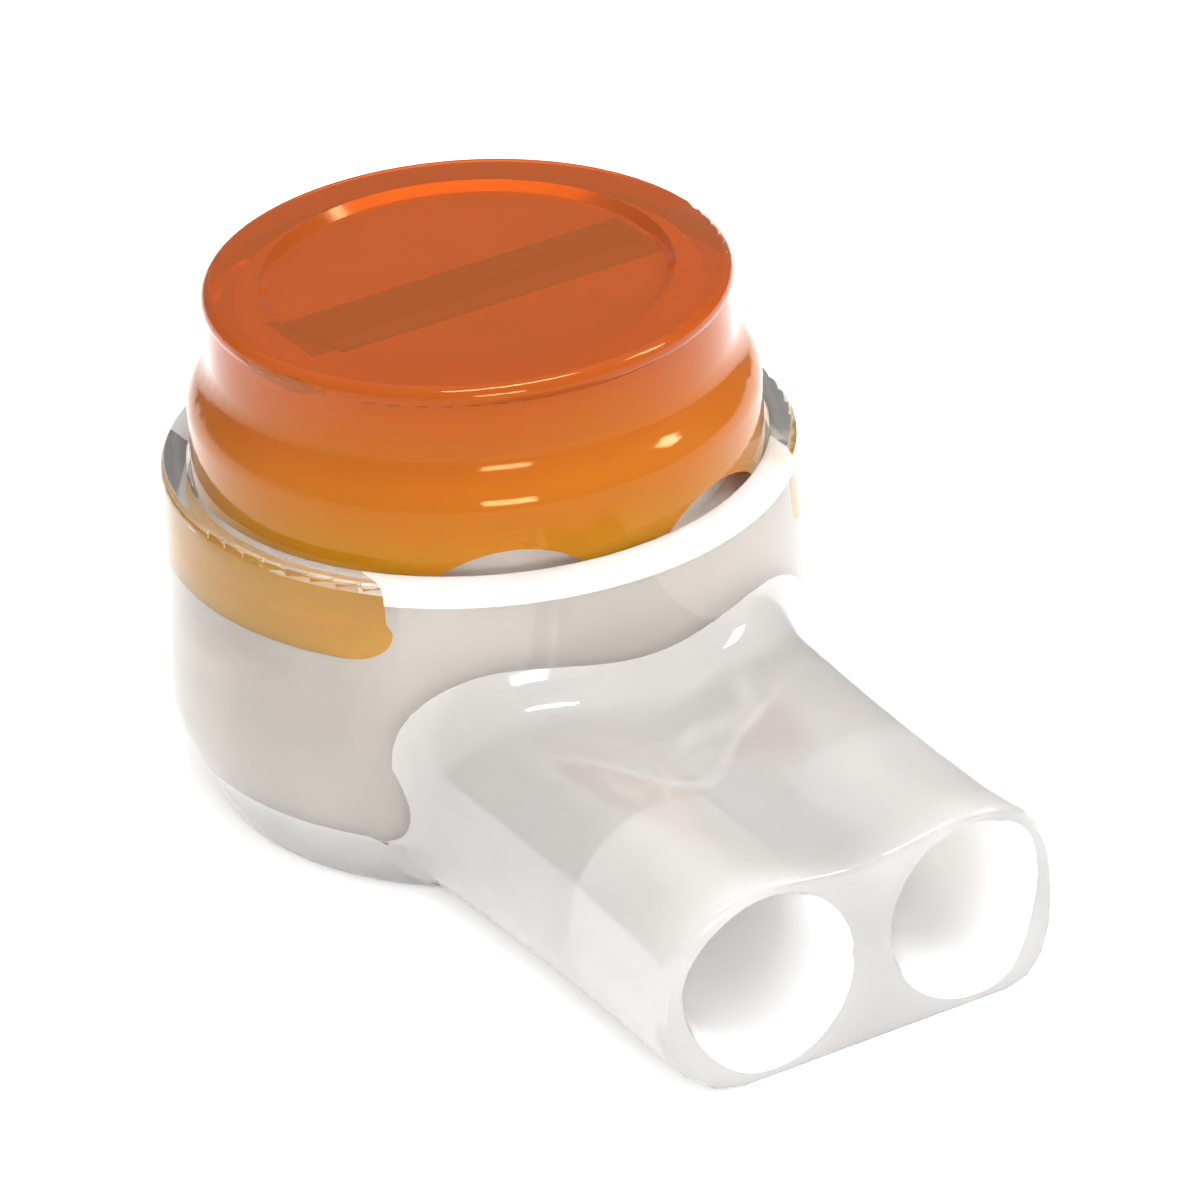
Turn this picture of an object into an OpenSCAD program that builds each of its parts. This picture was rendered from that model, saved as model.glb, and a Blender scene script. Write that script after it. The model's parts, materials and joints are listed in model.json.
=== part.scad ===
// Two-wire splice connector with a push button, shown with the button up.
// The wires go into the two mouths of the spout and lie in troughs across the cup.
// Pressing the button drives a slotted contact down over both of them.
// Origin on the cup's axis at the flat underside, +X along the spout, +Z up.

/* [Cup] */
// Widest outside diameter of the cup
cup_d = 10.2; // [10:0.05:10.8]
// Height of the rim above the flat underside
cup_h = 5.5; // [5.2:0.1:6.2]
// How far the wall draws in from its widest place up to the rim
rim_draw = 0.175; // [0:0.025:0.25]
// Radius that rounds the two edges of the rim
rim_round = 0.12; // [0.04:0.02:0.16]
// Thickness of the wall at the lip
lip_t = 0.405; // [0.3:0.005:0.55]
// Height of the lip
lip_h = 0.75; // [0.5:0.05:0.9]
// How far the wall under the lip is cut back
catch_depth = 0.1; // [0.06:0.01:0.12]
// How far the sloped edge draws in down to the underside
base_draw = 0.7; // [0.4:0.05:1]
// Height of the sloped edge above the underside
slope_h = 1.55; // [1.2:0.05:1.8]
// Radius, seen in section, that rounds the widest place of the wall
belly_r = 2; // [0.4:0.1:2.4]
// Radius that rounds the edge of the underside
base_round = 0.2; // [0.04:0.02:0.24]
// Height of the cup's floor above the underside
floor_h = 1.0; // [0.8:0.05:1.1]

/* [Spout] */
// Distance from the cup's axis to the end of the spout
spout_reach = 10.85; // [9.5:0.05:12]
// Width of the spout at its end
spout_w = 6.96; // [6.8:0.02:7.2]
// Height of the spout at its end
spout_h = 3.15; // [3.1:0.05:3.4]
// How much higher the spout is where it leaves the cup
spout_rise = 0.35; // [0.1:0.05:0.5]
// How far each side draws in before the end
waist = 0.08; // [0:0.02:0.12]
// Depth of the valley along the top between the two tubes
valley = 0.2; // [0.02:0.02:0.26]
// Radius of each upper shoulder
shoulder_r = 1.6; // [1.3:0.05:1.7]
// Radius of each lower corner
foot_r = 1.05; // [0.7:0.05:1.15]
// Radius of the blend between the spout's top and the cup
blend_r = 0.75; // [0.5:0.05:0.9]
// Radius of the blend between the spout's sides and the cup
side_blend_r = 0.35; // [0.2:0.05:0.5]
// Radius, seen from above, that rounds the two corners of the end
corner_r = 1.6; // [1:0.1:2]
// Half width over which the end stays straight
end_flat = 2.4; // [2:0.1:2.8]
// Radius that rounds the outer edge of the end
end_r = 0.12; // [0.06:0.02:0.14]

/* [Wire ports] */
// Diameter of each wire port
port_d = 2.3; // [2.2:0.05:2.4]
// Distance between the axes of the two ports
port_pitch = 3.54; // [3.4:0.02:3.6]
// Thickness of the plastic under a port
port_floor = 0.4; // [0.3:0.05:0.45]
// Diameter of the flared mouth of a port
flare_d = 2.9; // [2.6:0.02:2.96]
// Depth of the flare
flare_depth = 1.6; // [1:0.1:2.4]
// Diameter of the trough that carries on from a port across the cup's floor
trough_d = 1.9; // [1.7:0.05:1.95]
// Distance from the cup's axis to the blind end of a trough
trough_reach = 3.2; // [2.4:0.1:3.3]

/* [Button] */
// Distance that the button travels from up to pressed flush
press_travel = 2.8; // [2.4:0.1:3]
// How far the pressed button stands above the rim
cap_proud = 0.1; // [0:0.05:0.3]
// How far the button draws in from its collar to its neck
neck_draw = 0.39; // [0.3:0.01:0.5]
// How far the edge of the button's top overhangs the neck
top_over = 0.04; // [0.02:0.01:0.14]
// Thickness of the overhanging edge
top_edge = 0.36; // [0.2:0.02:0.5]
// Width of the flat ring round the shallow dish in the top
ring_w = 0.89; // [0.4:0.01:1.5]
// Depth of the dish
dish_depth = 0.14; // [0.05:0.01:0.2]
// Thickness of the button's top
cap_plate = 0.65; // [0.5:0.05:0.8]
// Thickness of the skirt
skirt_t = 0.5; // [0.4:0.05:0.55]
// Height of the wide collar above the rim while the button is up
collar_up = 0.9; // [0.6:0.05:1.1]
// Height over which the skirt widens to the collar
flare_h = 0.9; // [0.6:0.05:1.1]
// How far the skirt reaches below the rim between the ears
skirt_drop = 0.3; // [0.2:0.05:0.5]
// How far each ear reaches below the rim
ear_drop = 1.45; // [1.3:0.05:1.6]
// Angle that each ear spans about the axis
ear_angle = 85; // [60:1:96]
// Radius that rounds the two lower corners of an ear
ear_r = 0.5; // [0.2:0.05:0.7]
// Room between the skirt's arches and a wire that fills its port
arch_gap = 0.34; // [0.2:0.02:0.4]

/* [Contact] */
// How far each end of the contact lies inside the button's inner wall
contact_inset = 0.4; // [0.3:0.05:0.5]
// Depth of the contact over its two legs
contact_depth = 1.45; // [1.2:0.05:1.6]
// Thickness of the contact's strip
strip_t = 0.35; // [0.25:0.05:0.4]
// Width of a slot that grips a bared wire
slot_w = 0.36; // [0.25:0.01:0.45]
// Width of a slot's pointed mouth
slot_mouth = 1.3; // [0.9:0.05:1.5]
// Height of a slot's pointed mouth
slot_lead = 0.6; // [0.4:0.05:0.8]
// How far a slot reaches above the wire's axis when the button is pressed
slot_over = 0.6; // [0.4:0.05:0.9]
// Radius of the contact's two bends
bend_r = 0.5; // [0.42:0.02:0.55]
// Depth of the grooves that hold the contact's edges
edge_grip = 0.25; // [0.15:0.05:0.3]
// Height of the blocks that hold the contact's edges
block_h = 1.5; // [1:0.1:1.7]
// Thickness of a block on each side of the contact
block_t = 0.45; // [0.35:0.05:0.55]

/* [Gel] */
// Height of the gel's surface above the underside of the cup
gel_h = 4.6; // [4.2:0.1:4.7]

/* [Fits] */
// Radial room between the button and the cup
slide_gap = 0.08; // [0.05:0.01:0.09]
// Room at the stops and under the contact
stop_gap = 0.06; // [0.04:0.01:0.08]
// Room between the gel and what moves past it
gel_gap = 0.12; // [0.08:0.01:0.16]
// Room between the contact's legs and their slots in the floor
leg_gap = 0.1; // [0.06:0.01:0.14]

/* [Hidden] */
$fn = 96;
// Overlap that joins two solids or carries a cut past a face
over = 0.05;
// Numbers of steps round a shoulder, a foot, the blend, the length and the valley
SHOULDER_STEPS = 8;
FOOT_STEPS = 4;
BLEND_STEPS = 6;
LENGTH_STEPS = 12;
TOP_STEPS = 14;
END_STEPS = 3;
// Steepest part of the blend that is kept, so that it meets the wall at a clear angle
BLEND_START = 12;
cup_r = cup_d / 2;
rim_r = cup_r - rim_draw;
lip_r = rim_r - lip_t;
well_r = lip_r + catch_depth;
base_r = cup_r - base_draw;
port_r = port_d / 2;
port_y = port_pitch / 2;
port_z = port_floor + port_r;
trough_r = trough_d / 2;
flare_r = flare_d / 2;
// Distance from the cup's axis at which the ports break through the wall, clear to their outer sides
port_root = sqrt(lip_r * lip_r - (port_y + port_r) * (port_y + port_r));
// Depth to which the spout's root is sunk into the wall of the cup
root_depth = (rim_r - lip_r) / 2;
collar_r = lip_r - slide_gap;
bead_r = well_r - slide_gap;
cap_top = cup_h + cap_proud + press_travel;
neck_r = collar_r - neck_draw;
top_r = neck_r + top_over;
dish_r = top_r - ring_w;
cap_under = cap_top - cap_plate;
collar_z = cup_h + collar_up;
skirt_in_r = collar_r - skirt_t;
cap_in_r = neck_r - skirt_t;
contact_w = 2 * (cap_in_r - contact_inset);
ear_z = cup_h - ear_drop;
bead_z = cup_h - lip_h - stop_gap;
arch_r = port_r + arch_gap;
arch_z = port_z + press_travel;
leg_floor = port_floor + stop_gap;
leg_z = leg_floor + press_travel;
leg_x = contact_depth / 2 - strip_t / 2;
block_y = contact_w / 2 - edge_grip;
block_x = contact_depth / 2 + block_t;
gel_r = skirt_in_r - gel_gap;

// Corners of the cup's outside in section: axis, underside, widest place and rim
axis_foot = [0, 0];
base_edge = [base_r, 0];
belly = [cup_r, slope_h];
rim_edge = [rim_r, cup_h];

// Direction from one point to another
function toward(from, to) = (to - from) / norm(to - from);

// Half the angle at corner b between its neighbours a and c
function half_angle(a, b, c) = acos(toward(b, a) * toward(b, c)) / 2;

// Start, centre and end of the round of radius r at corner b
function round_start(a, b, c, r) = b + toward(b, a) * r / tan(half_angle(a, b, c));
function round_end(a, b, c, r) = round_start(c, b, a, r);
function round_centre(a, b, c, r) =
    b + toward([0, 0], toward(b, a) + toward(b, c)) * r / sin(half_angle(a, b, c));

base_start = round_start(axis_foot, base_edge, belly, base_round);
base_end = round_end(axis_foot, base_edge, belly, base_round);
base_centre = round_centre(axis_foot, base_edge, belly, base_round);
belly_start = round_start(base_edge, belly, rim_edge, belly_r);
belly_end = round_end(base_edge, belly, rim_edge, belly_r);
belly_centre = round_centre(base_edge, belly, rim_edge, belly_r);

// Radius at height z of a straight stretch of the wall, and of a round one
function on_line(from, to, z) = from[0] + (to[0] - from[0]) * (z - from[1]) / (to[1] - from[1]);
function on_round(centre, r, z) = centre[0] + sqrt(r * r - (z - centre[1]) * (z - centre[1]));

// Outside radius of the cup at height z
function wall_r(z) = z < base_end[1] ? on_round(base_centre, base_round, max(0, z))
    : z < belly_start[1] ? on_line(base_edge, belly, z)
    : z < belly_end[1] ? on_round(belly_centre, belly_r, z)
    : on_line(belly, rim_edge, z);

// Distance from the cup's axis plane to its outside at width y and height z
function wall_x(y, z) = sqrt(wall_r(z) * wall_r(z) - y * y);

// Points of a quarter arc about a centre, from one angle to another
function arc(cy, cz, r, from, to, steps) =
    [for (i = [0:steps]) let (a = from + (to - from) * i / steps) [cy + r * cos(a), cz + r * sin(a)]];

// How deep the valley is at width y of a top whose flat half width is half
function dip(y, half) = valley * (1 + cos(180 * y / half)) / 2;

// Outline of the spout across its length, with half width w and height h
function outline(w, h) = let (half = w - shoulder_r) concat(
    arc(w - foot_r, foot_r, foot_r, -90, 0, FOOT_STEPS),
    arc(half, h - shoulder_r, shoulder_r, 0, 90, SHOULDER_STEPS),
    [for (i = [1:TOP_STEPS - 1]) let (y = half * (1 - 2 * i / TOP_STEPS)) [y, h - dip(y, half)]],
    arc(-half, h - shoulder_r, shoulder_r, 90, 180, SHOULDER_STEPS),
    arc(foot_r - w, foot_r, foot_r, 180, 270, FOOT_STEPS));

// Angles of the rings round the blend and round the end's outer edge
blend_angles = [for (i = [0:BLEND_STEPS]) BLEND_START + (90 - BLEND_START) * i / BLEND_STEPS];
end_angles = [for (i = [1:END_STEPS]) 90 * i / END_STEPS];

// Radius of the blend at height z of an outline with height h
function blend_at(z, h) = side_blend_r + (blend_r - side_blend_r) * (z / h) * (z / h);

// How far from the cup's axis the spout's end lies at width y
function end_x(y) = let (out = max(0, abs(y) - end_flat))
    spout_reach - corner_r + sqrt(corner_r * corner_r - out * out);

// One ring of the spout in the blend, at angle a of its arc
function blend_ring(a) = let (
    w = spout_w / 2 + side_blend_r * (1 - sin(a)),
    h = spout_h + spout_rise + blend_r * (1 - sin(a)))
    [for (p = outline(w, h)) [wall_x(p[0], p[1]) + blend_at(p[1], h) * (1 - cos(a)), p[0], p[1]]];

// One ring at share s of the plain length, grown by g
function plain_ring(s, g) = let (
    w = spout_w / 2 - waist * sin(180 * s) + g,
    h = spout_h + spout_rise * (1 - s) + g)
    [for (p = outline(w, h)) let (from = wall_x(p[0], p[1]) + blend_at(p[1], h))
        [from + s * (end_x(p[0]) - from), p[0], p[1]]];

// The first ring again, sunk into the wall of the cup
sunk_ring = [for (p = blend_ring(BLEND_START)) [wall_x(p[1], p[2]) - root_depth, p[1], p[2]]];

end_share = end_r / (spout_reach - cup_r - blend_r);
spout_rings = concat(
    [sunk_ring],
    [for (a = blend_angles) blend_ring(a)],
    [for (i = [1:LENGTH_STEPS]) plain_ring((1 - end_share) * i / LENGTH_STEPS, 0)],
    [for (a = end_angles) plain_ring(1 - end_share * (1 - sin(a)), end_r * (cos(a) - 1))]);

// Closed skin through rings of equal length, with a fan at each end
module skin(rings, start, end) {
    n = len(rings[0]);
    m = len(rings);
    points = concat([for (ring = rings) for (p = ring) p], [start, end]);
    sides = [for (k = [0:m - 2]) for (i = [0:n - 1]) let (j = (i + 1) % n)
        each [[k * n + i, (k + 1) * n + i, (k + 1) * n + j], [k * n + i, (k + 1) * n + j, k * n + j]]];
    first = [for (i = [0:n - 1]) [m * n, i, (i + 1) % n]];
    last = [for (i = [0:n - 1]) [m * n + 1, (m - 1) * n + (i + 1) % n, (m - 1) * n + i]];
    polyhedron(points, concat(sides, first, last));
}

module spout() {
    skin(spout_rings, [lip_r / 2, 0, port_z], [spout_reach, 0, port_z]);
}

// Round of radius r that fills in corner b, from its start past its centre to its end
module rounded(start, corner, end, centre, r) {
    intersection() {
        polygon([centre, start, corner, end]);
        translate(centre) circle(r);
    }
}

// Outside of the cup up to its rim
module cup_blank() {
    rim_low = cup_h - rim_round;
    rim_out = wall_r(rim_low) - rim_round;
    rotate_extrude() {
        polygon([axis_foot, base_start, base_end, belly_start, belly_end, [wall_r(rim_low), rim_low], [0, rim_low]]);
        rounded(base_start, base_edge, base_end, base_centre, base_round);
        rounded(belly_start, belly, belly_end, belly_centre, belly_r);
        translate([0, belly_end[1]]) square([rim_out, cup_h - belly_end[1]]);
        translate([rim_out, rim_low]) circle(rim_round);
    }
}

// Hollow that takes the button, wider below the lip that catches the ears
module well() {
    catch_z = cup_h - lip_h;
    rotate_extrude()
        polygon([[0, floor_h], [lip_r, floor_h], [well_r, floor_h + catch_depth],
                 [well_r, catch_z], [lip_r, catch_z + catch_depth], [lip_r, cup_h + over], [0, cup_h + over]]);
}

// Wire port with a flared mouth at the spout's end and a trough across the cup's floor
module port(side) {
    widen = flare_r - port_r;
    arc_r = (flare_depth * flare_depth + widen * widen) / (2 * widen);
    translate([0, side * port_y, port_z]) rotate([0, 90, 0]) {
        translate([0, 0, port_root]) cylinder(r = port_r, h = spout_reach - port_root + over);
        translate([0, 0, spout_reach - flare_depth]) rotate_extrude()
            difference() {
                square([flare_r, flare_depth + over]);
                translate([port_r + arc_r, 0]) circle(arc_r, $fn = 240);
            }
    }
    translate([-trough_reach, side * port_y, port_floor + trough_r]) rotate([0, 90, 0])
        cylinder(r = trough_r, h = trough_reach + port_root + over);
}

// Slot in the floor that takes one leg of the contact
module leg_slot(side) {
    w = strip_t + 2 * leg_gap;
    length = contact_w + 2 * leg_gap;
    translate([side * leg_x - w / 2, -length / 2, port_floor]) cube([w, length, floor_h]);
}

// Clear body: cup and spout in one moulding
module body() {
    color([0.86, 0.87, 0.86, 0.45])
    difference() {
        union() {
            cup_blank();
            spout();
        }
        well();
        for (side = [-1, 1]) {
            port(side);
            leg_slot(side);
        }
    }
}

// Half profile that draws in from one radius to a smaller one, in two equal arcs
module flare(low_r, high_r) {
    step = low_r - high_r;
    mid = flare_h / 2;
    r = (flare_h * flare_h + step * step) / (4 * step);
    square([low_r - r, flare_h]);
    intersection() {
        translate([low_r - r, 0]) circle(r);
        square([low_r, mid]);
    }
    translate([0, mid]) difference() {
        square([high_r + step / 2, mid]);
        translate([high_r + r, mid]) circle(r);
    }
}

// Outside of the button down to the ears' tips, with the bead that catches under the lip
module cap_blank() {
    half = top_edge / 2;
    rotate_extrude() {
        polygon([[0, ear_z], [bead_r, ear_z], [bead_r, bead_z - catch_depth], [collar_r, bead_z],
                 [collar_r, collar_z], [0, collar_z]]);
        translate([0, collar_z]) flare(collar_r, neck_r);
        translate([0, collar_z + flare_h]) square([neck_r, cap_top - half - collar_z - flare_h]);
        translate([0, cap_top - top_edge]) square([top_r - half, top_edge]);
        translate([top_r - half, cap_top - half]) circle(half);
    }
}

// Shallow dish in the button's top, with a sloping edge
module dish() {
    translate([0, 0, cap_top - dish_depth])
        cylinder(r1 = dish_r - dish_depth, r2 = dish_r + over, h = dish_depth + over);
}

// Hollow under the button's top
module cap_hollow() {
    rotate_extrude() {
        translate([0, ear_z - over]) square([skirt_in_r, collar_z - ear_z + over]);
        translate([0, collar_z]) flare(skirt_in_r, cap_in_r);
        translate([0, collar_z + flare_h]) square([cap_in_r, cap_under - collar_z - flare_h]);
    }
}

// Space below the skirt on one side, between the round corners of the two ears
module ear_cut(side) {
    top = cup_h - skirt_drop;
    half = bead_r * sin(90 - ear_angle / 2);
    tip = half + ear_r;
    rotate([90, 0, side * 90]) linear_extrude(bead_r + over) {
        translate([-half, ear_z - over]) square([2 * half, top - ear_z + over]);
        difference() {
            translate([-tip, ear_z - over]) square([2 * tip, ear_r + over]);
            for (edge = [-1, 1]) translate([edge * tip, ear_z + ear_r]) circle(ear_r);
        }
    }
}

// Arch in the skirt that passes over one wire
module arch(side) {
    translate([0, side * port_y, arch_z]) rotate([0, 90, 0]) cylinder(r = arch_r, h = 2 * bead_r, center = true);
}

// Blocks under the button's top that grip the contact's two edges
module edge_blocks() {
    intersection() {
        translate([0, 0, cap_under - block_h])
            for (side = [0, 180]) rotate([0, 0, side])
                translate([-block_x, block_y, 0]) cube([2 * block_x, cap_in_r, block_h + over]);
        translate([0, 0, cap_under - block_h]) cylinder(r = cap_in_r + skirt_t / 2, h = block_h + over);
    }
}

// Amber button: plate, skirt with arches and ears, and the contact's seat
module button_cap() {
    color([0.86, 0.40, 0.13, 0.75])
    difference() {
        union() {
            difference() {
                cap_blank();
                cap_hollow();
            }
            edge_blocks();
        }
        dish();
        for (side = [-1, 1]) {
            ear_cut(side);
            arch(side);
        }
        contact_blank();
    }
}

// Folded strip of the contact before its slots are cut
module contact_blank() {
    half = contact_depth / 2;
    in_r = bend_r - strip_t;
    length = cap_under - leg_z;
    translate([0, contact_w / 2, leg_z]) rotate([90, 0, 0]) linear_extrude(contact_w)
        difference() {
            union() {
                translate([-half, 0]) square([contact_depth, length - bend_r]);
                translate([bend_r - half, 0]) square([contact_depth - 2 * bend_r, length]);
                for (side = [-1, 1]) translate([side * (half - bend_r), length - bend_r]) circle(bend_r);
            }
            translate([strip_t - half, -over])
                square([contact_depth - 2 * strip_t, length - bend_r + over]);
            translate([bend_r - half, -over])
                square([contact_depth - 2 * bend_r, length - strip_t + over]);
            for (side = [-1, 1]) translate([side * (half - bend_r), length - bend_r]) circle(in_r);
        }
}

// Slot with a pointed mouth and a round end, cut through both legs
module wire_slot(side) {
    top = slot_over + port_z + press_travel;
    rotate([90, 0, 90]) translate([side * port_y, 0, 0])
        linear_extrude(contact_depth + 2 * over, center = true) {
            polygon([[-slot_mouth / 2, leg_z - over], [slot_mouth / 2, leg_z - over],
                     [slot_w / 2, leg_z + slot_lead], [-slot_w / 2, leg_z + slot_lead]]);
            translate([-slot_w / 2, leg_z]) square([slot_w, top - leg_z]);
            translate([0, top]) circle(slot_w / 2);
        }
}

// Tinned contact: two slotted legs that join both wires
module contact() {
    color([0.78, 0.76, 0.72])
    difference() {
        contact_blank();
        for (side = [-1, 1]) wire_slot(side);
    }
}

// Room under the pressed button for the gel
module gel_room() {
    low = collar_z - press_travel - gel_gap;
    top_r = cap_in_r - gel_gap;
    rotate_extrude() {
        translate([0, floor_h]) square([gel_r, low - floor_h]);
        translate([0, low]) flare(gel_r, top_r);
        translate([0, low + flare_h]) square([top_r, gel_h]);
    }
}

// Gel round the contact's way down, clear of the ports and of all that the button sweeps
module sealing_gel() {
    pocket_x = contact_depth / 2 + gel_gap;
    pocket_y = contact_w / 2 + gel_gap;
    block_low = cap_under - block_h - press_travel - gel_gap;
    color([0.80, 0.80, 0.76, 0.6])
    difference() {
        intersection() {
            gel_room();
            translate([0, 0, floor_h]) cylinder(r = gel_r + over, h = gel_h - floor_h);
        }
        translate([-pocket_x, -pocket_y, floor_h - over]) cube([2 * pocket_x, 2 * pocket_y, gel_h]);
        translate([-block_x - gel_gap, -gel_r, block_low])
            cube([2 * (block_x + gel_gap), 2 * gel_r, gel_h]);
        for (side = [-1, 1]) translate([port_root - gel_gap, side * port_y, port_z]) rotate([0, 90, 0])
            cylinder(r = port_r, h = gel_r);
    }
}

body();
button_cap();
contact();
sealing_gel();
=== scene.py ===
"""Looks of a two-wire splice connector: clear gel-filled body, amber push button and tinned contact.

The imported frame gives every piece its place. Each operator makes one piece or one group of like
pieces, and the panel in the sidebar lists them in the order in which they are made.
"""
import json
import math

import bmesh
import bpy
from bpy.props import FloatProperty, FloatVectorProperty, PointerProperty
from mathutils import Matrix, Vector


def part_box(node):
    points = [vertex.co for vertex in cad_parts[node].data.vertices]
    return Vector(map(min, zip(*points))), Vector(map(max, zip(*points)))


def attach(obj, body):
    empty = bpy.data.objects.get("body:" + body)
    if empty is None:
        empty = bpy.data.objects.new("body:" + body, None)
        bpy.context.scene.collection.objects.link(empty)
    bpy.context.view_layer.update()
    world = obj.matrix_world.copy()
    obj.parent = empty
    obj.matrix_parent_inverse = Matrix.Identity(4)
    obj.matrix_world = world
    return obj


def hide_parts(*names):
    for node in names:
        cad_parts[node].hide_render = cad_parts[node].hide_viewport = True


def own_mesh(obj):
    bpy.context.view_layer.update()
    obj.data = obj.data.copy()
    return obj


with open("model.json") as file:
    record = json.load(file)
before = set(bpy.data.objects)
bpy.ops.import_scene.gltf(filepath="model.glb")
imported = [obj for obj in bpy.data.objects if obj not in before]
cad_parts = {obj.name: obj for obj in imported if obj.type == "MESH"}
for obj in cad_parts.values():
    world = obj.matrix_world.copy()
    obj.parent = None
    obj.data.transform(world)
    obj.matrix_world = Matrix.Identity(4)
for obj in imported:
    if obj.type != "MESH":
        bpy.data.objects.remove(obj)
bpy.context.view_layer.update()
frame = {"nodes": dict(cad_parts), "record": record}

bl_info = {
    "name": "Wire splice connector",
    "version": (1, 0, 0),
    "blender": (4, 5, 0),
    "location": "3D View > Sidebar > Splice",
    "description": "Dresses the packed wire splice connector in clear, amber and tinned finishes",
    "category": "Object",
}

MM = 0.001
# Along the spout, across its two ports, and out of the button
ALONG, ACROSS, UP = Vector((1, 0, 0)), Vector((0, 1, 0)), Vector((0, 0, 1))
# Points closer together than this are merged
WELD = 1e-7
# An edge at which the surface turns further than this stays sharp
SHARP_ANGLE = math.radians(32)

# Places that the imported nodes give
RIM_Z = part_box("body")[1].z
FLOOR_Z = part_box("sealing_gel")[0].z
GEL_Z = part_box("sealing_gel")[1].z
GEL_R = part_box("sealing_gel")[1].x
EAR_TIP_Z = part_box("button_cap")[0].z
# Half the depth and half the width of the contact, and its top, which meets the cap from below
CONTACT_X, CONTACT_Y, CAP_UNDER_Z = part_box("contact")[1]
# One port, as the record gives it; the other is its mirror image
PORT = next(mount for mount in frame["record"]["mounts"] if mount["name"] == "wire_port_left")
PORT_MIDDLE_X, PORT_Y, PORT_Z = PORT["pos_m"]
PORT_R = PORT["dims"]["r_mm"] * MM
PORT_ROOT_X = PORT_MIDDLE_X - PORT["dims"]["length_mm"] * MM / 2

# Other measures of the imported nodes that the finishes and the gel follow
EAR_CORNER_R = 0.5 * MM
EAR_EDGE_Y = 3.347 * MM
SKIRT_IN_R = 3.94 * MM
SKIRT_LOW_Z = 5.2 * MM
COLLAR_Z = 6.4 * MM
CAP_IN_R = 3.55 * MM
CAP_FLARE_Z = 7.3 * MM
WELL_R = 4.62 * MM
TROUGH_R = 0.95 * MM
TROUGH_Z = 1.35 * MM
TROUGH_END_X = -3.2 * MM
# Half the length of the pocket for the contact's leg, which parts a trough in two
POCKET_X = 0.9 * MM
# Along X, where the spout's blend into the wall begins and where it ends
BLEND_X = 2.6 * MM
SPOUT_ROOT_X = 5.3 * MM
# Height above which the upper side of the blend lies
BLEND_TOP_Z = 1.6 * MM
# Heights between which a face that looks up is the cup's floor or lies in a trough in it
TROUGH_LOW_Z = 0.3 * MM
FLOOR_HIGH_Z = FLOOR_Z + 0.2 * MM
# Faces up to this far from a port's axis are its wall, flared mouth and all
PORT_WALL_R = 1.5 * MM

# Height up to which gel wets the wall of the cup and the ears
WETTED_Z = SKIRT_LOW_Z - 0.02 * MM
# Where the gel in a port ends and the dry mouth begins
DRY_X = 7.6 * MM
# Depth of the hollow in which the gel in a port ends
PORT_DISH = 0.35 * MM
# How far round towards the ears the rim carries its painted highlight, a near-white milky finish
RIM_HIGHLIGHT_Y = 3.65 * MM
# Height at which the rim's rounding turns from the top to the outside
RIM_EDGE_Z = RIM_Z - 0.035 * MM
# How far the gel's skin lies inside what it wets, so that no film of air shows
WET = 0.02 * MM

# How squarely a face has to look a way to count as one that looks that way: 1 is straight there,
# 0 is edge on, and below 0 the face looks a little away
FACES_PORT_AXIS = 0.15
FACES_CUP_AXIS = 0.3
FACES_UP_FROM_TROUGH = -0.2
FACES_UP_FROM_BLEND = 0.12
FACES_SIDEWAYS = 0.06
FACES_OUT_OF_EAR = 0.5
FACES_UP_OR_DOWN = 0.5
FACES_DOWN = 0.9
FACES_MOUTH = 0.15

# Numbers of the finishes on the body, the button, the gel in cup and cap, and the gel in the ports
# On the body, the fourth and fifth finishes are near-white and paint light: light inside the mouths and a
# highlight on the rim
CLEAR, WETTED, MILKY, PAINTED_MOUTH_LIGHT, PAINTED_RIM_HIGHLIGHT, RIM_OVER_EARS = range(6)
BARE, INSIDE, EAR = range(3)
CLOUDY, THIN = range(2)
SUNK, OPEN = range(2)

PLASTIC_IOR = 1.49
# Gel bends light as the plastic does, so light goes straight on where the two meet
MATCHED_IOR = 1
# Tones of the amber from the ears, at 0, to the top, at 1, and the heights of these two
AMBER_TONES = ((0, (1.0, 0.50, 0.01)), (0.28, (0.80, 0.42, 0.01)),
               (0.55, (0.72, 0.24, 0.01)), (1, (0.66, 0.128, 0.01)))
AMBER_LOW_Z = 4.4 * MM
AMBER_HIGH_Z = 8.2 * MM

# Bounces that light needs to cross the walls and the gel on its way in and out
LIGHT_BOUNCES = 10
# Bounces off what scatters or mirrors light, more of which hardly show
SCATTER_BOUNCES = 2
# Light boxes: name, place, point aimed at, length and width, all in millimetres, and watts
LIGHT_BOXES = (
    ("top_light", (30, 5, 175), (2, 0, 4), 110, 20, 0.25),
    ("side_light", (69, 119, 116), (2, 0, 4), 24, 60, 0.1),
    ("front_light", (112, -38, 40), (9, 0, 2), 40, 24, 0.062),
)
# Colour of the sky low down behind the connector, and how strongly the sky shines
DIM_SKY = (0.30, 0.29, 0.28)
SKY_STRENGTH = 1.22
# Half the width of the floor, and how far it lies under the connector
FLOOR_HALF_WIDTH = 0.6
FLOOR_GAP = 0.02 * MM
# Width in millimetres of the image that the lens throws
SENSOR_WIDTH = 36

FLOAT, COLOR = "NodeSocketFloat", "NodeSocketColor"


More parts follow.
